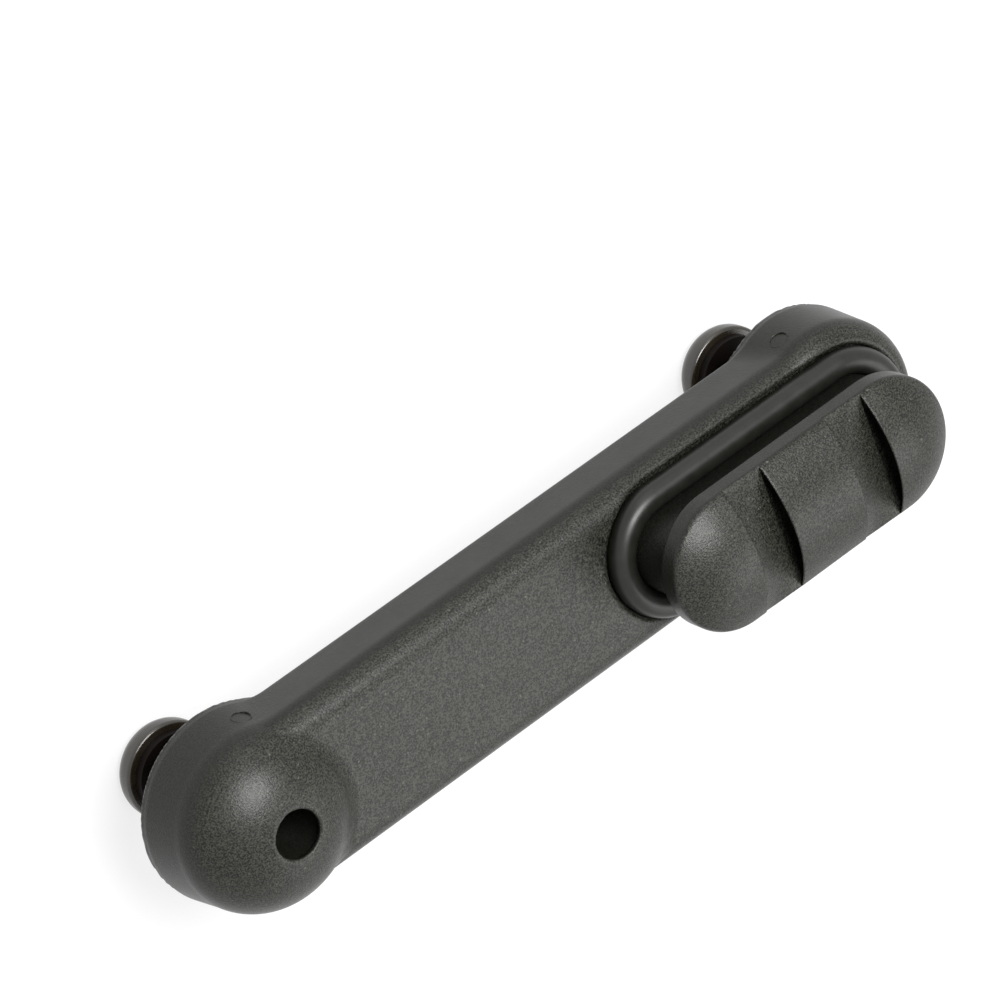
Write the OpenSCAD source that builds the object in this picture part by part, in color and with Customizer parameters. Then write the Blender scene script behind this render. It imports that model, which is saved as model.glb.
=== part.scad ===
// Bottle cage mount: a moulded arm that carries a bottle cage on two bolts and clips into a clamp by its coupling head.
// X runs along the arm, from the domed end to the coupling end. Z is the front normal.
// The origin is midway between the bolt axes, on the back face where the cage seats.

/* [Cage bolts] */
// Distance between the two bolt axes, the standard of bottle cages
bolt_pitch = 64; // [50:1:80]
// Diameter of the bolt at the root of its thread
bolt_core_d = 4.2; // [3:0.1:5]
// Length of the bolt below its head
bolt_length = 12; // [10:0.5:13]
// Diameter of the bolt head
bolt_head_d = 8.8; // [7.5:0.1:10]
// Height of the bolt head
bolt_head_h = 2.8; // [2.2:0.1:4]
// Gap between the back of the arm and the underside of the bolt head
bolt_standoff = 8.6; // [6:0.1:10]
// Width across the flats of the hexagon socket
socket_af = 3; // [2:0.5:3.5]
// Depth of the hexagon socket
socket_depth = 1.7; // [1:0.1:2]
// Gap on the radius between bolt and core hole
bolt_gap = 0.05; // [0.02:0.01:0.09]

/* [Washers] */
// Outer diameter of the washer under each bolt head
washer_d = 7.4; // [6:0.1:8]
// Thickness of the washer
washer_t = 0.9; // [0.5:0.1:1.5]
// Gap on the radius between bolt and washer
washer_gap = 0.1; // [0.05:0.01:0.3]

/* [Bar] */
// Width of the bar at its back
bar_back_w = 14.4; // [12:0.1:16]
// Width of the bar at its widest, below the rounded front edges
bar_front_w = 15.2; // [13:0.1:16.4]
// Height of the front face over the seat of the cage
bar_h = 7.8; // [7:0.1:9.5]
// Radius of the rounded front edges
edge_r = 2.4; // [1:0.1:3]
// Step from the seats of the cage down to the back of the bar
back_step = 0.5; // [0.2:0.1:1]
// Thickness of the outer walls of the bar
wall = 2; // [1.5:0.1:2.6]
// Thickness of the ribs
rib_t = 1.5; // [1:0.1:2]
// Number of cells along the ribbed back
cells = 6; // [4:1:8]

/* [Bosses] */
// Diameter of the boss under the dome
dome_boss_d = 17.6; // [16.8:0.1:19]
// Diameter of the boss at the coupling end
end_boss_d = 16.6; // [16.5:0.1:18.5]
// Radius of the front edge of the coupling end
end_edge_r = 2.8; // [1.5:0.1:3.2]
// Radius of the hollow blends between bosses and bar
flare_r = 6; // [3:0.5:9]
// Small radius round the back edges of the bosses
boss_edge_r = 0.6; // [0.2:0.1:1]

/* [Dome] */
// Diameter of the dome at its shoulder
dome_d = 16.6; // [15.4:0.1:17.4]
// Height over the seat of the cage at which the boss has narrowed to the dome
dome_base_z = 4.8; // [3.8:0.1:5.5]
// Rise of the dome over the front face
dome_rise = 2.9; // [2:0.1:4]
// Radius of the dome's crown
dome_crown_r = 9.5; // [8.9:0.1:12]
// Radius of the hollow blend between dome and front face
dome_fillet_r = 3; // [1.5:0.1:4]

/* [Coupling head] */
// Distance from the middle of the arm to the middle of the head
head_x = 21.1; // [18:0.1:24]
// Length of the head
head_l = 30.6; // [26:0.1:34]
// Width of the head
head_w = 12.5; // [11:0.1:13.5]
// Height of the groove under the head, over the front face
head_gap = 5.7; // [4.8:0.1:7.2]
// Height of the upright rim of the head
rim_h = 2; // [1.4:0.1:3]
// Rise of the crown over the rim
crown_h = 2.2; // [1.6:0.1:3]
// Distance between the two saw-tooth notches
notch_pitch = 11.6; // [10:0.1:13]
// Length of each notch's sloping ledge
ledge_l = 4.1; // [3:0.1:5]
// Depth of the step where a ledge begins
ledge_step = 0.25; // [0.1:0.05:0.5]
// Depth of the pocket that undercuts the end wall of a notch
pocket_depth = 2.2; // [1:0.1:3]
// Thickness of the crown over the mouth of a pocket
pocket_skin = 0.3; // [0.2:0.05:0.6]

/* [Neck and ring] */
// Width of the neck between arm and head
neck_w = 7.8; // [7:0.1:8.4]
// Distance between the centres of the neck's round ends
neck_span = 20.8; // [18:0.1:23]
// Distance from the middle of the arm to the middle of the neck
neck_x = 21.4; // [19:0.1:24]
// Width of the ring's section
ring_w = 2.35; // [1.8:0.05:2.6]
// How far the ring's rounded top stands out of the front face
ring_proud = 1.4; // [0.6:0.1:1.6]
// Depth of the ring's seat below the front face
seat_depth = 1.4; // [0.8:0.1:1.8]
// Gap round the ring and under it
ring_gap = 0.04; // [0.02:0.01:0.1]

/* [Hidden] */
$fn = 96;
HULL_FN = 32;
THIN = 0.01;
FAR = 60;

dome_x = -bolt_pitch / 2;
end_x = bolt_pitch / 2;
core_r = bolt_core_d / 2 + bolt_gap;
dome_top = bar_h + dome_rise;
dome_crown_z = dome_top - dome_crown_r;

head_r = head_w / 2;
head_span = head_l - head_w;
head_z = bar_h + head_gap;
crown_z = head_z + rim_h;
crown_top = crown_z + crown_h;
// Radius of the crown's arc, from its chord and its rise
crown_r = (pow(head_r, 2) + pow(crown_h, 2)) / (2 * crown_h);
head_edge_r = 0.35;
// The notches sit evenly on the head
notch_x = [head_x - notch_pitch / 2, head_x + notch_pitch / 2];

neck_r = neck_w / 2;
seat_r = neck_r + ring_w + 2 * ring_gap;
seat_z = bar_h - seat_depth;
ring_top_z = bar_h + ring_proud;
// The blind core hole ends this far under the head
hole_roof = 2;
blind_top = head_z - hole_roof;

// The blends meet the bosses this far inside tangency
flare_inset = 0.15;
// The blends at the coupling end lean in this much to the front
end_lean = 0.2;

head_top_z = -bolt_standoff;
head_end_z = head_top_z - bolt_head_h;
head_rim_r = 0.4;
head_round_r = 1;
tip_chamfer = 0.5;

cell_margin = 0.6;
cell_from = dome_x + dome_boss_d / 2 + cell_margin;
cell_to = end_x - end_boss_d / 2 - cell_margin;
cell_pitch = (cell_to - cell_from + rib_t) / cells;
// Under the ring's seat the cells are shallower, so that the wall there keeps its thickness
seat_from = neck_x - neck_span / 2 - seat_r;

MOULDING = [0.24, 0.24, 0.23];
RUBBER = [0.10, 0.10, 0.10];
BLACK_STEEL = [0.16, 0.15, 0.15];
BROWN = [0.17, 0.12, 0.09];

// Stands a profile drawn in Y and Z up, and runs it along X from one place to another
module along_x(from, to) {
    translate([from, 0, 0])
        rotate([90, 0, 90])
            linear_extrude(to - from)
                children();
}

// Outline with straight sides and round ends, centred on X
module stadium(span, r) {
    square([span, 2 * r], center = true);
    for (side = [-1, 1])
        translate([side * span / 2, 0])
            circle(r);
}

// Turns a half profile round each end of a span, and runs the whole profile between them
module stadium_solid(x, span) {
    for (side = [-1, 1])
        translate([x + side * span / 2, 0, 0])
            rotate([0, 0, -90 * side])
                rotate_extrude(angle = 180)
                    children();
    along_x(x - span / 2, x + span / 2) {
        children();
        mirror([1, 0])
            children();
    }
}

// Section of the bar, its sides leaning out to the front and its front edges rounded
module bar_section() {
    half_back = bar_back_w / 2;
    half_front = bar_front_w / 2;
    polygon([
        [-half_back, back_step],
        [half_back, back_step],
        [half_front, bar_h - edge_r],
        [-half_front, bar_h - edge_r]
    ]);
    for (side = [-1, 1])
        translate([side * (half_front - edge_r), bar_h - edge_r])
            circle(edge_r);
    translate([-(half_front - edge_r), back_step])
        square([2 * (half_front - edge_r), bar_h - back_step]);
}

// Half profile of a round boss with a small radius at its back edge
module boss_profile(r, height) {
    translate([0, boss_edge_r])
        square([r, height - boss_edge_r]);
    square([r - boss_edge_r, boss_edge_r]);
    translate([r - boss_edge_r, boss_edge_r])
        circle(boss_edge_r);
}

// Half profile of the boss at the coupling end, its front edge rounded over
module end_profile() {
    r = end_boss_d / 2;
    boss_profile(r, bar_h - end_edge_r);
    translate([0, bar_h - end_edge_r - THIN])
        square([r - end_edge_r, end_edge_r + THIN]);
    intersection() {
        translate([r - end_edge_r, bar_h - end_edge_r])
            circle(end_edge_r);
        translate([0, boss_edge_r])
            square([r, bar_h]);
    }
}

// Half profile of the dome: a crown over a boss whose side leans in to the dome's shoulder
module dome_profile() {
    dome_r = dome_d / 2;
    boss_profile(dome_boss_d / 2, boss_edge_r + THIN);
    polygon([
        [0, boss_edge_r],
        [dome_boss_d / 2, boss_edge_r],
        [dome_r, dome_base_z],
        [0, dome_base_z]
    ]);
    intersection() {
        translate([0, dome_crown_z])
            circle(dome_crown_r);
        translate([0, dome_base_z - THIN])
            square([dome_r, dome_top]);
    }
}

// Half profile of the hollow blend that runs from the front face up the dome
module dome_fillet_profile() {
    centre_z = bar_h + dome_fillet_r;
    reach = dome_crown_r + dome_fillet_r;
    centre_r = sqrt(pow(reach, 2) - pow(centre_z - dome_crown_z, 2));
    touch = dome_crown_r / reach;
    touch_r = centre_r * touch;
    touch_z = dome_crown_z + (centre_z - dome_crown_z) * touch;
    difference() {
        polygon([
            [touch_r - edge_r, bar_h - edge_r],
            [touch_r, touch_z],
            [centre_r, centre_z],
            [centre_r, bar_h - edge_r]
        ]);
        translate([centre_r, centre_z])
            circle(dome_fillet_r);
    }
}

// Section that lets the blend round the dome sink into the rounded front edges of the bar
module fillet_clip() {
    sink_y = bar_front_w / 2 - edge_r / 2;
    sink_z = bar_h - edge_r + sqrt(3) / 2 * edge_r;
    drop = bar_h + dome_fillet_r / 2 - sink_z;
    arc_r = (pow(sink_y, 2) + pow(drop, 2)) / (2 * drop);
    intersection() {
        translate([0, sink_z + drop - arc_r])
            circle(arc_r);
        translate([-sink_y, 0])
            square([2 * sink_y, dome_top]);
    }
}

// Hollow blends between a boss at x and the two sides of the bar, towards the bar's middle.
// Each is turned round an upright axis beside the bar and leans in to the front as the boss does.
module flares(x, boss_r, lean) {
    centre_y = bar_back_w / 2 + flare_r;
    centre_x = sqrt(pow(boss_r - flare_inset + flare_r, 2) - pow(centre_y, 2));
    flare_top = bar_h - edge_r;
    inward = -sign(x);
    for (side = [-1, 1])
        intersection() {
            translate([x + inward * centre_x, side * centre_y, 0])
                rotate_extrude()
                    polygon([
                        [flare_r, back_step],
                        [centre_y, back_step],
                        [centre_y, flare_top],
                        [flare_r + lean, flare_top]
                    ]);
            translate([x, 0, 0])
                linear_extrude(bar_h)
                    polygon([
                        [0, 0],
                        [inward * centre_x, side * centre_y],
                        [inward * centre_x, 0]
                    ]);
        }
}

// Cells between the ribs of the back, in two rows beside the middle rib
module back_cells() {
    row_w = bar_back_w / 2 - wall - rib_t / 2;
    for (i = [0 : cells - 1])
        for (side = [-1, 1]) {
            from = cell_from + i * cell_pitch;
            to = from + cell_pitch - rib_t;
            roof = (to > seat_from ? seat_z : bar_h) - wall;
            translate([(from + to) / 2, side * (rib_t + row_w) / 2, roof / 2])
                cube([to - from, row_w, roof], center = true);
        }
}

// Half profile of the coupling head: an upright rim under a shallow crown
module head_profile() {
    translate([0, head_z + head_edge_r])
        square([head_r, rim_h - head_edge_r]);
    translate([0, head_z])
        square([head_r - head_edge_r, head_edge_r + THIN]);
    translate([head_r - head_edge_r, head_z + head_edge_r])
        circle(head_edge_r);
    crown_profile(0);
}

// Half profile of the crown, lowered by a skin
module crown_profile(skin) {
    intersection() {
        translate([0, crown_top - crown_r])
            circle(crown_r - skin);
        translate([0, crown_z - THIN])
            square([head_r, crown_h + 1]);
    }
}

// Both halves of the crown as one thin slice across the head
module crown_slice(x, skin, lower) {
    translate([0, 0, -lower])
        along_x(x, x + THIN) {
            crown_profile(skin, $fn = HULL_FN);
            mirror([1, 0])
                crown_profile(skin, $fn = HULL_FN);
        }
}

// A flat slice across the head at the foot of the crown
module flat_slice(x, height) {
    translate([x, -head_r, crown_z - THIN])
        cube([THIN, head_w, height]);
}

// What stays of the crown in a notch: a ledge that starts as the crown's arc and ends flat
module ledge(x) {
    hull() {
        crown_slice(x - ledge_l / 2, 0, ledge_step);
        flat_slice(x + ledge_l / 2 - THIN, THIN);
    }
}

// The pocket that undercuts a notch's end wall, a wedge under the crown
module pocket(x) {
    hull() {
        crown_slice(x + ledge_l / 2 - THIN, pocket_skin, 0);
        flat_slice(x + ledge_l / 2 + pocket_depth, THIN);
    }
}

module coupling_head() {
    difference() {
        stadium_solid(head_x, head_span)
            head_profile();
        for (x = notch_x) {
            translate([x - ledge_l / 2, -head_r - 1, crown_z])
                cube([ledge_l, head_w + 2, crown_h + 1]);
            pocket(x);
        }
    }
    for (x = notch_x)
        ledge(x);
}

module neck() {
    translate([neck_x, 0, seat_z - THIN])
        linear_extrude(head_z - seat_z + 2 * THIN)
            stadium(neck_span, neck_r);
}

module ring_seat() {
    translate([neck_x, 0, seat_z])
        linear_extrude(FAR)
            stadium(neck_span, seat_r);
}

module bar() {
    along_x(dome_x, end_x)
        bar_section();
    flares(dome_x, dome_boss_d / 2, (dome_boss_d - dome_d) / 2);
    flares(end_x, end_boss_d / 2, end_lean);
    translate([dome_x, 0, 0])
        rotate_extrude()
            dome_profile();
    translate([end_x, 0, 0])
        rotate_extrude()
            end_profile();
    intersection() {
        translate([dome_x, 0, 0])
            rotate_extrude()
                dome_fillet_profile();
        along_x(dome_x, 0)
            fillet_clip();
    }
}

module arm() {
    color(MOULDING)
        difference() {
            union() {
                difference() {
                    bar();
                    back_cells();
                    ring_seat();
                }
                neck();
                coupling_head();
            }
            translate([dome_x, 0, -1])
                cylinder(h = dome_top + 2, r = core_r);
            translate([end_x, 0, -1])
                cylinder(h = blind_top + 1, r = core_r);
        }
}

// Half profile of the ring: a flat foot with a round back
module ring_profile() {
    inner = neck_r + ring_gap;
    foot_z = seat_z + ring_gap;
    round_z = ring_top_z - ring_w / 2;
    translate([inner, foot_z])
        square([ring_w, round_z - foot_z]);
    translate([inner + ring_w / 2, round_z])
        circle(ring_w / 2);
}

module neck_ring() {
    color(RUBBER)
        stadium_solid(neck_x, neck_span)
            ring_profile();
}

// Half profile of a bolt: a low round head with a flat end, and a shank with a chamfered tip
module bolt_profile() {
    head_r_out = bolt_head_d / 2;
    shank_r = bolt_core_d / 2;
    translate([0, head_end_z])
        square([head_r_out - head_round_r, bolt_head_h]);
    translate([0, head_end_z + head_round_r])
        square([head_r_out, bolt_head_h - head_round_r - head_rim_r]);
    translate([head_r_out - head_round_r, head_end_z + head_round_r])
        circle(head_round_r);
    translate([0, head_top_z - head_rim_r - THIN])
        square([head_r_out - head_rim_r, head_rim_r + THIN]);
    translate([head_r_out - head_rim_r, head_top_z - head_rim_r])
        circle(head_rim_r);
    polygon([
        [0, head_top_z - THIN],
        [shank_r, head_top_z - THIN],
        [shank_r, head_top_z + bolt_length - tip_chamfer],
        [shank_r - tip_chamfer, head_top_z + bolt_length],
        [0, head_top_z + bolt_length]
    ]);
}

module cage_bolt(x) {
    color(BLACK_STEEL)
        translate([x, 0, 0])
            difference() {
                rotate_extrude()
                    bolt_profile();
                translate([0, 0, head_end_z - 1])
                    cylinder(h = socket_depth + 1, d = socket_af / cos(30), $fn = 6);
            }
}

module washer(x) {
    color(BROWN)
        translate([x, 0, head_top_z])
            difference() {
                cylinder(h = washer_t, d = washer_d);
                translate([0, 0, -1])
                    cylinder(h = washer_t + 2, r = bolt_core_d / 2 + washer_gap);
            }
}

module lower_cage_bolt() {
    cage_bolt(dome_x);
}

module upper_cage_bolt() {
    cage_bolt(end_x);
}

module lower_washer() {
    washer(dome_x);
}

module upper_washer() {
    washer(end_x);
}

arm();
neck_ring();
lower_cage_bolt();
upper_cage_bolt();
lower_washer();
upper_washer();
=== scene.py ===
import math

import bpy
import numpy as np
from mathutils import Matrix, Vector


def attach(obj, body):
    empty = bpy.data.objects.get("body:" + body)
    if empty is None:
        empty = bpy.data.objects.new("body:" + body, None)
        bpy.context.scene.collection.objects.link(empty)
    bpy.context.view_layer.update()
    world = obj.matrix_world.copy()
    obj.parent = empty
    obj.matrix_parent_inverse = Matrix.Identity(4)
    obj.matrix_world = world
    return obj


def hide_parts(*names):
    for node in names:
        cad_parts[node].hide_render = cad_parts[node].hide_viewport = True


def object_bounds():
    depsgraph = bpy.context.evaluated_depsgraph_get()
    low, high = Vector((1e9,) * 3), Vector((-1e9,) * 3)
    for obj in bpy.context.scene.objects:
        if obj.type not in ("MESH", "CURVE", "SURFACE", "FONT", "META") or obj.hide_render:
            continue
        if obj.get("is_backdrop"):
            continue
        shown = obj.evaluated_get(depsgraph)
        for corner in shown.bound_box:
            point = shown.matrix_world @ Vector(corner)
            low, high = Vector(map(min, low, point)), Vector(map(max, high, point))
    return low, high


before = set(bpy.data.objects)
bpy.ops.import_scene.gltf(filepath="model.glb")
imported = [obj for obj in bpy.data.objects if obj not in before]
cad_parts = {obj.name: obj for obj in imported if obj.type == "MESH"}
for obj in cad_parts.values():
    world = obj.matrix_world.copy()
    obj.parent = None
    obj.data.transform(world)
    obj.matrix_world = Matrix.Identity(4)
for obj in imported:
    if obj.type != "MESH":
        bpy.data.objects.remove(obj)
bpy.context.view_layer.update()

MM = 0.001

# Bar, with a boss at each end on the axis of a bolt

BOLT_X = 32.0
FRONT_Z = 7.8
FRONT_EDGE_R = 2.4
BACK_Z = 0.5
BACK_EDGE_R = 0.45
BAR_BACK_HALF = 7.2
BAR_FRONT_HALF = 7.6
DOME_BOSS_R = 8.8
END_BOSS_R = 8.4
END_LEAN = 0.2
FLARE_R = 6.0

# Dome on one boss, with a hollow blend that fades where dome and bar face the same way

DOME_R = 8.27
DOME_MID_Z = 4.76
DOME_RISE = 5.94
DOME_BLEND_R = 0.7
DOME_BLEND_LEAST_R = 0.02
BLEND_FADED = 0.985
BLEND_FULL = 0.80

# Cells between the ribs of the back, cut upward from well below it

CELLS = 6
CELL_FROM = -22.6
CELL_TO = 23.1
CELL_CUT_FROM_Z = -5.0
CELL_CORNER_R = 0.3
CELL_MOUTH_R = 0.2
RIB = 1.5
WALL = 2.0

# Core holes of the bolts: one opens in the dome, the other ends under the coupling head

THREAD_HOLE_R = 2.5
HOLE_EDGE_R = 0.12
HOLE_TOP_Z = 9.95
BLIND_TOP_Z = 11.5
MOUTH_R = 2.15
MOUTH_EDGE_R = 0.2

# Neck of the coupling head, in a seat that is sunk into the front of the bar

NECK_X = 21.4
NECK_HALF_SPAN = 10.4
NECK_R = 3.9
NECK_FOOT_R = 0.15
NECK_ROOT = 1.0
NECK_IN_HEAD = 0.3
SEAT_R = 6.33
SEAT_Z = 6.4
SEAT_LIP_R = 0.6

# Ring on the neck

RING_HALF = 1.175
RING_GAP = 0.04
RING_TOP_Z = 9.2

# Coupling head: rim, crown, and two notches, each a ledge that ends at a pocket

HEAD_X = 21.1
HEAD_HALF_SPAN = 9.05
HEAD_R = 6.25
HEAD_FOOT_Z = 13.5
HEAD_FOOT_R = 0.3
RIM_Z = 15.5
RIM_EDGE_R = 0.25
CROWN_RISE = 2.2
CROWN_R = (HEAD_R**2 + CROWN_RISE**2) / (2 * CROWN_RISE)
NOTCH_X = (HEAD_X - 5.8, HEAD_X + 5.8)
NOTCH_EDGE_R = 0.06
LEDGE_HALF = 2.05
LEDGE_STEP = 0.25
LEDGE_COSINE = 0.9
POCKET_DEPTH = 2.2
POCKET_SKIN = 0.15
POCKET_SINK = 1.0
POCKET_SINK_FROM = 0.4

# Bolts

CORE_R = 2.1
TIP_Z = 3.4
TIP_CHAMFER = 0.5
BOLT_HEAD_R = 4.4
BOLT_SEAT_Z = -8.6
BOLT_END_Z = -11.4
BOLT_LIP_R = 0.35
BOLT_ROUND_R = 1.9
SOCKET_HALF = 1.5
SOCKET_DEPTH = 1.7
SOCKET_CHAMFER = 0.15
SOCKET_CONE = 0.4
CAP_R = 0.02
THREAD_R = 2.42
THREAD_PITCH = 0.8
THREAD_FROM_Z = -7.2
THREAD_TO_Z = 2.9
THREAD_ROOT_HALF = 0.36
THREAD_CREST_HALF = 0.06
THREAD_SUNK = 0.06
THREAD_FADE_TURNS = 2 / 3

# Round lines that ejector pins leave on the side wall, as places along X and Z

MARK_PLACES = {"mark_low": (-29.6, 3.5), "mark_high": (30.2, 4.0)}
MARK_R = 0.85
MARK_WIRE_R = 0.08
MARK_LEAN = 0.06
MARK_SUNK_SHARE = 0.4
MARK_PROUD_SIDE = math.radians(-128)

# Grids on which the moulding is meshed

BODY_BOX = ((-41.6, -9.6, -0.8), (41.2, 9.6, 14.6))
HEAD_BOX = ((5.0, -7.0, 12.9), (37.2, 7.0, 18.4))
BODY_CELL = 0.26
HEAD_CELL = 0.125


# Distance fields: each takes points and gives about the distance to a surface, negative inside


def round_max(a, b, radius):
    """The part inside both a and b, its outer edge rounded."""
    u = np.maximum(a + radius, 0)
    v = np.maximum(b + radius, 0)
    return np.minimum(np.maximum(a, b), -radius) + np.hypot(u, v)


def round_min(a, b, radius):
    """The part inside a or b, with a hollow blend in the corner between them."""
    u = np.maximum(radius - a, 0)
    v = np.maximum(radius - b, 0)
    return np.maximum(np.minimum(a, b), radius) - np.hypot(u, v)


def smoothstep(low, high, value):
    """0 at low, 1 at high, level at both."""
    t = np.clip((value - low) / (high - low), 0, 1)
    return t * t * (3 - 2 * t)


def spine_distance(x, y, middle, half_span):
    """Distance from a straight spine along X, the basis of every outline with round ends."""
    along = np.maximum(np.abs(x - middle) - half_span, 0)
    return np.hypot(along, y)


def box_field(x, y, z, low, high, radius):
    """Box between two corners, with rounded edges."""
    inner = [np.abs(v - (a + b) / 2) - (b - a) / 2 + radius for v, a, b in zip((x, y, z), low, high)]
    outside = np.sqrt(sum(np.maximum(q, 0) ** 2 for q in inner))
    return outside + np.minimum(np.maximum(np.maximum(inner[0], inner[1]), inner[2]), 0) - radius


def flared_plan(x, y, bar_half, boss_r, boss_x):
    """Outline of the bar and one boss, with a hollow arc tangent to both on each side."""
    side = np.abs(y)
    inward = (x - boss_x) * (1 if boss_x < 0 else -1)
    bar = np.maximum(side - bar_half, -inward)
    boss = np.hypot(inward, side) - boss_r
    arc_y = bar_half + FLARE_R
    arc_x = np.sqrt(np.maximum((boss_r + FLARE_R) ** 2 - arc_y**2, 0))
    in_arc = (inward > 0) & (inward < arc_x) & (side < arc_y) & (inward * arc_y > side * arc_x)
    hollow = FLARE_R - np.hypot(inward - arc_x, side - arc_y)
    return np.where(in_arc, hollow, np.minimum(bar, boss))


def dome_boss_radius(z):
    """Boss under the dome: a cone up to the dome's widest place, then the dome's own curve."""
    cone = DOME_BOSS_R + (DOME_R - DOME_BOSS_R) * np.clip(z / DOME_MID_Z, 0, 1)
    over = np.clip((z - DOME_MID_Z) / DOME_RISE, 0, 1)
    return cone * np.sqrt(1 - over**2)


def with_dome(body, plan, z, from_axis):
    """Adds the dome, half an ellipsoid, to the bar with the given outline."""
    dz = z - DOME_MID_Z
    scaled = np.sqrt((from_axis / DOME_R) ** 2 + (dz / DOME_RISE) ** 2)
    slope = np.sqrt((from_axis / DOME_R**2) ** 2 + (dz / DOME_RISE**2) ** 2) + 1e-9
    dome = scaled * (scaled - 1) / slope
    up = np.maximum(z - FRONT_Z + FRONT_EDGE_R, 0)
    out = np.maximum(plan + FRONT_EDGE_R, 0)
    size = np.hypot(up, out) + 1e-9
    same_way = (up * np.abs(dz) / DOME_RISE**2 + out * from_axis / DOME_R**2) / (size * slope)
    blend_r = DOME_BLEND_R * smoothstep(BLEND_FADED, BLEND_FULL, same_way) + DOME_BLEND_LEAST_R
    return np.where(dz > 0, round_min(body, dome, blend_r), body)


def cells():
    """Corners of the cells between the ribs of the back, shallower under the seat."""
    pitch = (CELL_TO - CELL_FROM + RIB) / CELLS
    for i in range(CELLS):
        start = CELL_FROM + i * pitch
        end = start + pitch - RIB
        under_seat = end > NECK_X - NECK_HALF_SPAN - SEAT_R
        roof = (SEAT_Z if under_seat else FRONT_Z) - WALL
        for side in (-1, 1):
            inner, outer = side * RIB / 2, side * (BAR_BACK_HALF - WALL)
            yield (start, min(inner, outer), CELL_CUT_FROM_Z), (end, max(inner, outer), roof)


def body_field(x, y, z):
    """The arm below its coupling head."""
    lift = np.clip((z - BACK_Z) / (FRONT_Z - FRONT_EDGE_R - BACK_Z), 0, 1)
    bar_half = BAR_BACK_HALF + (BAR_FRONT_HALF - BAR_BACK_HALF) * lift
    dome_end = flared_plan(x, y, bar_half, dome_boss_radius(z), -BOLT_X)
    head_end = flared_plan(x, y, bar_half, END_BOSS_R - END_LEAN * lift, BOLT_X)
    plan = np.where(x < 0, dome_end, head_end)
    from_dome_axis = np.hypot(x + BOLT_X, y)
    from_head_axis = np.hypot(x - BOLT_X, y)
    body = round_max(plan, z - FRONT_Z, FRONT_EDGE_R)
    body = with_dome(body, plan, z, from_dome_axis)

    bosses = np.minimum(from_dome_axis - DOME_BOSS_R, from_head_axis - END_BOSS_R)
    back = np.minimum(BACK_Z - z, np.maximum(-z, bosses))
    body = round_max(body, back, BACK_EDGE_R)

    neck = spine_distance(x, y, NECK_X, NECK_HALF_SPAN)
    seat = np.maximum(neck - SEAT_R, SEAT_Z - z)
    body = round_max(body, -seat, SEAT_LIP_R)
    ends = np.maximum(z - HEAD_FOOT_Z - NECK_IN_HEAD, SEAT_Z - NECK_ROOT - z)
    body = round_min(body, np.maximum(neck - NECK_R, ends), NECK_FOOT_R)

    for low, high in cells():
        body = round_max(body, -box_field(x, y, z, low, high, CELL_CORNER_R), CELL_MOUTH_R)
    for from_axis, top in ((from_dome_axis, HOLE_TOP_Z), (from_head_axis, BLIND_TOP_Z)):
        hole = np.maximum(from_axis - THREAD_HOLE_R, z - top)
        body = round_max(body, -hole, HOLE_EDGE_R)
    return round_max(body, MOUTH_R - from_dome_axis, MOUTH_EDGE_R)


def head_field(x, y, z):
    """The coupling head: an upright rim under a shallow crown, with two saw-tooth notches."""
    reach = spine_distance(x, y, HEAD_X, HEAD_HALF_SPAN)
    crown_mid = RIM_Z + CROWN_RISE - CROWN_R
    crown = np.hypot(reach, z - crown_mid) - CROWN_R
    head = round_max(reach - HEAD_R, crown, RIM_EDGE_R)
    head = round_max(head, HEAD_FOOT_Z - z, HEAD_FOOT_R)
    crown_z = crown_mid + np.sqrt(np.maximum(CROWN_R**2 - np.minimum(np.abs(y), HEAD_R) ** 2, 0))
    for middle in NOTCH_X:
        start, end = middle - LEDGE_HALF, middle + LEDGE_HALF
        share = np.clip((x - start) / (end - start), 0, 1)
        ledge_z = (crown_z - LEDGE_STEP) * (1 - share) + RIM_Z * share
        notch = np.maximum(np.abs(x - middle) - LEDGE_HALF, (ledge_z - z) * LEDGE_COSINE)
        deep = np.clip((x - end) / POCKET_DEPTH, 0, 1)
        roof = (crown_z - POCKET_SKIN) * (1 - deep) + RIM_Z * deep
        floor = RIM_Z - POCKET_SINK * np.clip(crown_z - RIM_Z - POCKET_SINK_FROM, 0, 1)
        along = np.maximum(end - x, x - end - POCKET_DEPTH)
        pocket = np.maximum(along, np.maximum(floor - z, z - roof))
        head = round_max(head, -np.minimum(notch, pocket), NOTCH_EDGE_R)
    return head


# Meshes


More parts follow.
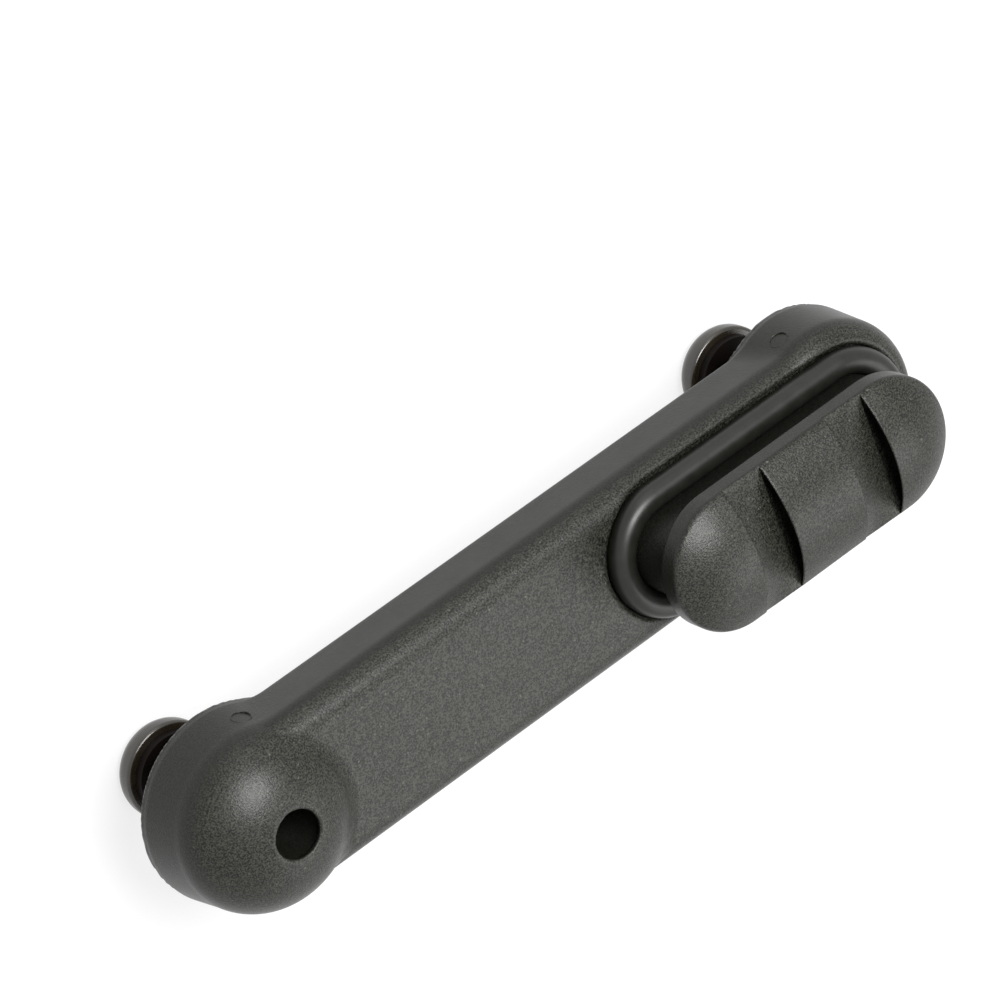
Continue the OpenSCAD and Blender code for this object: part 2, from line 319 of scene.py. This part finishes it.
def surface_points(values):
    """Surface net: a point in each cell of a grid that the surface crosses, and the quads between them."""
    inside = values < 0
    shape = tuple(n - 1 for n in values.shape)
    corners = [(i, j, k) for i in (0, 1) for j in (0, 1) for k in (0, 1)]

    def at(grid, corner):
        return grid[tuple(slice(c, c + n) for c, n in zip(corner, shape))]

    count = sum(at(inside, c).astype(np.int8) for c in corners)
    place = np.argwhere((count > 0) & (count < 8))
    index = np.full(shape, -1, dtype=np.int64)
    index[tuple(place.T)] = np.arange(len(place))
    total = np.zeros((len(place), 3))
    hits = np.zeros(len(place))
    for first in corners:
        for axis in range(3):
            if first[axis]:
                continue
            second = tuple(1 if a == axis else c for a, c in enumerate(first))
            a = values[tuple((place + first).T)]
            b = values[tuple((place + second).T)]
            crosses = (a < 0) != (b < 0)
            point = np.array(first, float) + np.zeros((len(place), 1))
            point[crosses, axis] = a[crosses] / (a[crosses] - b[crosses])
            total[crosses] += point[crosses]
            hits += crosses
    points = place + total / hits[:, None]
    quads = []
    for axis in range(3):
        step = np.eye(3, dtype=int)[axis]
        b, c = np.eye(3, dtype=int)[(axis + 1) % 3], np.eye(3, dtype=int)[(axis + 2) % 3]
        here = inside[tuple(slice(0, n - s) for n, s in zip(inside.shape, step))]
        there = inside[tuple(slice(s, n) for n, s in zip(inside.shape, step))]
        start = np.argwhere(here != there)
        around = [index[tuple((start - o).T)] for o in (0 * b, b, b + c, c)]
        ring = np.stack(around, axis=1)
        out = here[tuple(start.T)]
        ring[out] = ring[out][:, ::-1]
        quads.append(ring[:, ::-1])
    return points, np.concatenate(quads)


def settle(points, field, cell):
    """Moves the points of a net onto the true surface of its field, in two short steps."""
    step = cell * 0.2
    longest_move = cell * 0.4
    least_size = 0.2
    for _ in range(2):
        value = field(*points.T)
        slope = np.stack([
            (field(*(points + step * axis).T) - field(*(points - step * axis).T)) / (2 * step)
            for axis in np.eye(3)
        ], axis=1)
        size = np.maximum((slope**2).sum(axis=1), least_size)
        move = -(value / size)[:, None] * slope
        length = np.linalg.norm(move, axis=1, keepdims=True)
        points = points + move * np.minimum(1, longest_move / np.maximum(length, 1e-9))
    return points


def mesh_object(name, points, faces):
    mesh = bpy.data.meshes.new(name)
    mesh.from_pydata((np.asarray(points) * MM).tolist(), [], faces)
    mesh.validate()
    mesh.shade_smooth()
    obj = bpy.data.objects.new(name, mesh)
    bpy.context.scene.collection.objects.link(obj)
    return obj


def field_object(name, field, box, cell):
    """Piece whose surface is where the field is zero, on a grid in the box."""
    axes = [np.arange(a, b + cell, cell) for a, b in zip(*box)]
    grid = np.meshgrid(*axes, indexing="ij")
    points, quads = surface_points(field(*grid))
    points = points * cell + np.array([a[0] for a in axes])
    return mesh_object(name, settle(points, field, cell), quads.tolist())


def sweep_object(name, rings, closed):
    """Skin over a row of rings, each a closed loop of points. Open ends are capped."""
    count = len(rings[0])
    points = np.concatenate(rings)
    faces = []
    for i in range(len(rings) if closed else len(rings) - 1):
        here, there = i * count, (i + 1) % len(rings) * count
        for k in range(count):
            turn = (k + 1) % count
            faces.append((here + k, here + turn, there + turn, there + k))
    if not closed:
        faces.append(tuple(range(count))[::-1])
        faces.append(tuple(range(len(points) - count, len(points))))
    return mesh_object(name, points, faces)


def ring_object(name):
    """Ring drawn round the neck: egg-shaped section, widest where it leaves its seat."""
    middle_z = RING_TOP_Z - RING_HALF
    foot = middle_z - SEAT_Z - RING_GAP
    section = np.linspace(0, 2 * math.pi, 40, endpoint=False)
    reach = NECK_R + RING_GAP + RING_HALF * (1 + np.cos(section))
    up = np.where(np.sin(section) > 0, RING_HALF, foot) * np.sin(section)
    rings = []
    for side in (1, -1):
        for angle in np.linspace(-math.pi / 2, math.pi / 2, 48):
            centre_x = NECK_X + side * NECK_HALF_SPAN
            along, across = side * math.cos(angle), side * math.sin(angle)
            rings.append(np.stack([centre_x + along * reach, across * reach, middle_z + up], axis=1))
    return sweep_object(name, rings, closed=True)


def bolt_object(name, bolt_x):
    """Low round head with a hexagon socket, on a smooth core with a chamfered tip."""
    angles = np.linspace(0, 2 * math.pi, 96, endpoint=False)
    hexagon = SOCKET_HALF / np.cos((angles + math.pi / 6) % (math.pi / 3) - math.pi / 6)
    circle = np.ones_like(angles)
    rows = [(circle * CAP_R, TIP_Z), (circle * (CORE_R - TIP_CHAMFER), TIP_Z)]
    rows += [(circle * CORE_R, TIP_Z - TIP_CHAMFER), (circle * CORE_R, BOLT_SEAT_Z)]
    rows.append((circle * (BOLT_HEAD_R - BOLT_LIP_R), BOLT_SEAT_Z))
    for turn in np.linspace(0.1, 1, 8) * math.pi / 2:
        reach = BOLT_HEAD_R - BOLT_LIP_R * (1 - math.sin(turn))
        rows.append((circle * reach, BOLT_SEAT_Z - BOLT_LIP_R * (1 - math.cos(turn))))
    for turn in np.linspace(0, 1, 10) * math.pi / 2:
        reach = BOLT_HEAD_R - BOLT_ROUND_R * (1 - math.cos(turn))
        rows.append((circle * reach, BOLT_END_Z + BOLT_ROUND_R * (1 - math.sin(turn))))
    socket_z = BOLT_END_Z + SOCKET_DEPTH
    rows += [(hexagon + SOCKET_CHAMFER, BOLT_END_Z), (hexagon, BOLT_END_Z + SOCKET_CHAMFER)]
    rows += [(hexagon, socket_z), (circle * CAP_R, socket_z + SOCKET_CONE)]
    rings = []
    for reach, height in rows:
        rings.append(np.stack([
            bolt_x + reach * np.cos(angles), reach * np.sin(angles), np.full_like(angles, height)
        ], axis=1))
    bolt = sweep_object(name, rings[::-1], closed=False)
    bolt.data.set_sharp_from_angle(angle=math.radians(40))
    return bolt


def thread_object(name, bolt_x):
    """Ridge of the thread, wound round the smooth core of a bolt, fading out at both ends."""
    steps = 36
    turns = (THREAD_TO_Z - THREAD_FROM_Z) / THREAD_PITCH
    sunk_r = CORE_R - THREAD_SUNK
    faded_r = CORE_R - THREAD_SUNK / 2
    rings = []
    for t in np.linspace(0, 1, round(turns * steps)):
        angle = 2 * math.pi * turns * t
        crest_r = faded_r + (THREAD_R - faded_r) * min(1, min(t, 1 - t) * turns / THREAD_FADE_TURNS)
        middle = THREAD_FROM_Z + THREAD_PITCH * turns * t
        profile = (
            (sunk_r, -THREAD_ROOT_HALF),
            (crest_r, -THREAD_CREST_HALF),
            (crest_r, THREAD_CREST_HALF),
            (sunk_r, THREAD_ROOT_HALF),
        )
        rings.append(np.array([
            (bolt_x + r * math.cos(angle), r * math.sin(angle), middle + dz) for r, dz in profile
        ]))
    return sweep_object(name, rings, closed=False)


def wall_y(x, z):
    """Where the side wall stands at a place along X and Z, by halving the span that holds it."""
    inside_arm, outside_arm = 0.0, 12.0
    low, high = inside_arm, outside_arm
    for _ in range(40):
        y = (low + high) / 2
        if body_field(np.array(x), np.array(y), np.array(z)) < 0:
            low = y
        else:
            high = y
    return y


def witness_ring(name, x, z):
    """Thin round line on the side wall, one side of it sunk in the wall."""
    centre = np.array([x, wall_y(x, z), z])
    step = 0.05
    slope = [body_field(*(centre + step * a)) - body_field(*(centre - step * a)) for a in np.eye(3)]
    normal = Vector([float(v) for v in slope]).normalized()
    across = Vector((0, 0, 1)).cross(normal).normalized()
    upward = normal.cross(across)
    rings = []
    for angle in np.linspace(0, 2 * math.pi, 64, endpoint=False):
        spoke = across * math.cos(angle) + upward * math.sin(angle)
        proud = MARK_LEAN * (math.cos(angle - MARK_PROUD_SIDE) - MARK_SUNK_SHARE)
        middle = Vector(centre) + spoke * MARK_R + normal * proud
        loop = []
        for k in np.linspace(0, 2 * math.pi, 10, endpoint=False):
            loop.append(middle + (spoke * math.cos(k) + normal * math.sin(k)) * MARK_WIRE_R)
        rings.append(np.array(loop))
    return sweep_object(name, rings, closed=True)


# Materials

FRONT_FACING = ((0.30, 0.0), (0.62, 1.0))
# Front grain: a real grain pattern, its strong contrast painted sparkle of the eroded facets
FRONT_GRAIN_AND_SPARKLE = ((0.40, 0.002), (0.64, 0.050))
WALL_GRAIN = ((0.40, 0.007), (0.62, 0.018))
# Pale dots on the front faces: painted glints of the eroded facets
PAINTED_GLINT_SHARE = ((0.992, 0.0), (0.999, 0.6))
PAINTED_GLINT_TONE = 0.14
MOULDING_ROUGHNESS = ((0.3, 0.33), (0.7, 0.39))
MOULDING_GLOSS = 0.30
RUBBER_TONES = ((0.3, 0.009), (0.7, 0.013))
RUBBER_ROUGHNESS = ((0.3, 0.35), (0.7, 0.40))
RUBBER_GLOSS = 0.40
STEEL_SHADES = ((0.3, 0.7), (0.7, 1.3))
STEEL_SPREAD = 0.05


def new_material(name):
    material = bpy.data.materials.new(name)
    material.use_nodes = True
    return material, material.node_tree, material.node_tree.nodes["Principled BSDF"]


def add_node(tree, kind, **inputs):
    node = tree.nodes.new(kind)
    for key, value in inputs.items():
        node.inputs[key].default_value = value
    return node


def grey(value):
    return (value, value, value, 1)


def plastic(value):
    """Black plastic seen in daylight has a faint olive tint."""
    return (value, value * 1.03, value * 0.82, 1)


def ramp_node(tree, source, stops, tone=grey):
    """Colour ramp between two stops, each a position and a value that tone turns into a colour."""
    ramp = tree.nodes.new("ShaderNodeValToRGB")
    for element, (position, value) in zip(ramp.color_ramp.elements, stops):
        element.position, element.color = position, tone(value)
    tree.links.new(source, ramp.inputs["Fac"])
    return ramp.outputs["Color"]


def blend_node(tree, factor, a, b):
    """Mixes two colours by a factor; each is a socket or a plain value."""
    mix = tree.nodes.new("ShaderNodeMix")
    mix.data_type = "RGBA"
    tree.links.new(factor, mix.inputs["Factor"])
    for key, value in (("A", a), ("B", b)):
        socket = next(i for i in mix.inputs if i.name == key and i.type == "RGBA")
        if isinstance(value, tuple):
            socket.default_value = value
        else:
            tree.links.new(value, socket)
    return next(o for o in mix.outputs if o.type == "RGBA")


def add_bump(tree, shader, height, strength, distance):
    bump = add_node(tree, "ShaderNodeBump", Strength=strength, Distance=distance)
    tree.links.new(height, bump.inputs["Height"])
    tree.links.new(bump.outputs["Normal"], shader.inputs["Normal"])


def moulding_material():
    """Glass-filled plastic: spark-eroded grain in front, with painted sparkle in its strong contrast and
    painted glints as pale dots; smoother and darker walls.
    """
    material, tree, shader = new_material("moulding")
    coords = tree.nodes.new("ShaderNodeTexCoord")
    grain = add_node(tree, "ShaderNodeTexNoise", Scale=6600.0, Detail=2.0, Roughness=0.6)
    cloud = add_node(tree, "ShaderNodeTexNoise", Scale=260.0, Detail=3.0)
    glint_cells = add_node(tree, "ShaderNodeTexVoronoi", Scale=7500.0)
    for texture in (grain, cloud, glint_cells):
        tree.links.new(coords.outputs["Object"], texture.inputs["Vector"])
    normal = tree.nodes.new("ShaderNodeSeparateXYZ")
    tree.links.new(coords.outputs["Normal"], normal.inputs["Vector"])
    front = ramp_node(tree, normal.outputs["Z"], FRONT_FACING)

    # Grain on the front faces, its strong contrast painted sparkle
    grain_and_sparkle = ramp_node(tree, grain.outputs["Fac"], FRONT_GRAIN_AND_SPARKLE, plastic)
    fine = ramp_node(tree, grain.outputs["Fac"], WALL_GRAIN, plastic)
    base = blend_node(tree, front, fine, grain_and_sparkle)
    # Painted glints: pale dots on the front faces only, set by a cell pattern
    chosen = tree.nodes.new("ShaderNodeSeparateColor")
    tree.links.new(glint_cells.outputs["Color"], chosen.inputs["Color"])
    glint_share = ramp_node(tree, chosen.outputs["Red"], PAINTED_GLINT_SHARE)
    painted_glint = blend_node(tree, front, grey(0), glint_share)
    colour = blend_node(tree, painted_glint, base, plastic(PAINTED_GLINT_TONE))
    tree.links.new(colour, shader.inputs["Base Color"])

    rough = ramp_node(tree, cloud.outputs["Fac"], MOULDING_ROUGHNESS)
    tree.links.new(rough, shader.inputs["Roughness"])
    add_bump(tree, shader, grain.outputs["Fac"], strength=0.5, distance=0.00006)
    shader.inputs["Specular IOR Level"].default_value = MOULDING_GLOSS
    return material


def rubber_material():
    """Smooth black rubber with a satin skin."""
    material, tree, shader = new_material("rubber")
    place = tree.nodes.new("ShaderNodeTexCoord").outputs["Object"]
    skin = add_node(tree, "ShaderNodeTexNoise", Scale=900.0, Detail=2.0)
    tree.links.new(place, skin.inputs["Vector"])
    base = ramp_node(tree, skin.outputs["Fac"], RUBBER_TONES, plastic)
    tree.links.new(base, shader.inputs["Base Color"])
    rough = ramp_node(tree, skin.outputs["Fac"], RUBBER_ROUGHNESS)
    tree.links.new(rough, shader.inputs["Roughness"])
    add_bump(tree, shader, skin.outputs["Fac"], strength=0.15, distance=0.00005)
    shader.inputs["Specular IOR Level"].default_value = RUBBER_GLOSS
    return material


def steel_material(name, colour, roughness, gloss):
    """Blackened steel: oxide colour that varies a little, under a thin gloss."""
    material, tree, shader = new_material(name)
    place = tree.nodes.new("ShaderNodeTexCoord").outputs["Object"]
    cloud = add_node(tree, "ShaderNodeTexNoise", Scale=500.0, Detail=3.0)
    tree.links.new(place, cloud.inputs["Vector"])
    base = ramp_node(tree, cloud.outputs["Fac"], STEEL_SHADES, lambda k: [k * c for c in colour] + [1])
    tree.links.new(base, shader.inputs["Base Color"])
    stops = ((0.3, roughness - STEEL_SPREAD), (0.7, roughness + STEEL_SPREAD))
    rough = ramp_node(tree, cloud.outputs["Fac"], stops)
    tree.links.new(rough, shader.inputs["Roughness"])
    shader.inputs["Specular IOR Level"].default_value = gloss
    return material


def dress(obj, material):
    obj.data.materials.clear()
    obj.data.materials.append(material)


moulding = moulding_material()
rubber = rubber_material()
black_steel = steel_material("black_steel", (0.020, 0.015, 0.008), roughness=0.26, gloss=0.80)
brown_steel = steel_material("brown_steel", (0.006, 0.004, 0.003), roughness=0.50, gloss=0.10)

# Pieces

body = field_object("arm_body", body_field, BODY_BOX, BODY_CELL)
head = field_object("arm_head", head_field, HEAD_BOX, HEAD_CELL)
marks = [witness_ring(name, x, z) for name, (x, z) in MARK_PLACES.items()]
for piece in (body, head, *marks):
    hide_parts("arm")
    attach(piece, "arm")
    dress(piece, moulding)

ring = ring_object("ring")
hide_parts("neck_ring")
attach(ring, "arm")
dress(ring, rubber)

for end, bolt_x in (("lower", -BOLT_X), ("upper", BOLT_X)):
    bolt = bolt_object(end + "_bolt_core", bolt_x)
    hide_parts(end + "_cage_bolt")
    for piece in (bolt, thread_object(end + "_thread", bolt_x)):
        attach(piece, end + "_bolt")
        dress(piece, black_steel)
    dress(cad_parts[end + "_washer"], brown_steel)

# Camera, fitted to the outline of the arm in the photograph

VIEW_RIGHT = Vector((0.74887, -0.31869, 0.58106))
VIEW_UP = Vector((0.52782, 0.81701, -0.23216))
VIEW_BACK = Vector((-0.40075, 0.48056, 0.78004))
CAMERA_RIGHT = -2.0554
CAMERA_UP = 8.3376
CAMERA_BACK = 464.467
IMAGE_PIXELS = 988
PIXELS_PER_MM = 11.7706

camera_data = bpy.data.cameras.new("camera")
camera_data.sensor_width = 36.0
camera_data.lens = camera_data.sensor_width * PIXELS_PER_MM * CAMERA_BACK / IMAGE_PIXELS
camera_data.clip_start = 0.01
camera_data.clip_end = 10.0
camera = bpy.data.objects.new("camera", camera_data)
bpy.context.scene.collection.objects.link(camera)
camera_place = (VIEW_RIGHT * CAMERA_RIGHT + VIEW_UP * CAMERA_UP + VIEW_BACK * CAMERA_BACK) * MM
turn = Matrix((VIEW_RIGHT, VIEW_UP, VIEW_BACK)).transposed().to_4x4()
camera.matrix_world = Matrix.Translation(camera_place) @ turn
bpy.context.scene.camera = camera

# Light: soft boxes placed by direction, as right, up and back of the camera

LIT_POINT = Vector((0.0, 0.0, 0.005))
LAMP_DISTANCE = 0.60
AMBIENT = 0.15
FLOOR_TONE = 0.25
FLOOR_LIFT = 0.76
FLOOR_WIDTH = 2.0
FLOOR_GAP = 0.00002


def soft_box(name, right, up, back, size, power):
    data = bpy.data.lights.new(name, "AREA")
    data.shape = "DISK"
    data.size = size
    data.energy = power
    light = bpy.data.objects.new(name, data)
    bpy.context.scene.collection.objects.link(light)
    away = (VIEW_RIGHT * right + VIEW_UP * up + VIEW_BACK * back).normalized()
    light.location = LIT_POINT + away * LAMP_DISTANCE
    light.rotation_mode = "QUATERNION"
    light.rotation_quaternion = away.to_track_quat("Z", "Y")
    light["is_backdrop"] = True


# Name, then right, up and back of the camera, diameter in metres, watts
for lamp in (
    ("right", 0.32, 0.16, 0.93, 0.32, 4.8),
    ("face", 0.91, -0.34, 0.24, 0.40, 1.2),
    ("top", 0.00, 0.80, 0.60, 0.34, 0.4),
    ("far_right", 0.70, -0.70, -0.05, 0.30, 0.3),
):
    soft_box(*lamp)


def seen_or_lit(tree, lit, seen):
    """Strength for light that reaches surfaces, and another for what the camera and reflections see."""
    path = tree.nodes.new("ShaderNodeLightPath")
    total = path.outputs["Is Camera Ray"]
    for ray in ("Is Glossy Ray", "Is Transmission Ray"):
        either = tree.nodes.new("ShaderNodeMath")
        either.operation = "MAXIMUM"
        tree.links.new(total, either.inputs[0])
        tree.links.new(path.outputs[ray], either.inputs[1])
        total = either.outputs["Value"]
    level = tree.nodes.new("ShaderNodeMapRange")
    level.inputs["To Min"].default_value = lit
    level.inputs["To Max"].default_value = seen
    tree.links.new(total, level.inputs["Value"])
    return level.outputs["Result"]


world = bpy.data.worlds.new("world")
bpy.context.scene.world = world
world.use_nodes = True
background = world.node_tree.nodes["Background"]
background.inputs["Color"].default_value = (1, 1, 1, 1)
world.node_tree.links.new(seen_or_lit(world.node_tree, AMBIENT, 1.0), background.inputs["Strength"])


def floor_object():
    """Table top under the bolt heads, lifted to white for the camera and reflections, with its shadow."""
    low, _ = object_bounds()
    bpy.ops.mesh.primitive_plane_add(size=FLOOR_WIDTH, location=(0, 0, low.z - FLOOR_GAP))
    floor = bpy.context.active_object
    floor.name = "floor"
    material, tree, shader = new_material("floor")
    shader.inputs["Base Color"].default_value = grey(FLOOR_TONE)
    shader.inputs["Roughness"].default_value = 0.9
    shader.inputs["Emission Color"].default_value = (1, 1, 1, 1)
    tree.links.new(seen_or_lit(tree, 0.0, FLOOR_LIFT), shader.inputs["Emission Strength"])
    dress(floor, material)
    floor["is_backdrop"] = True


floor_object()
bpy.context.scene.view_settings.view_transform = "Standard"
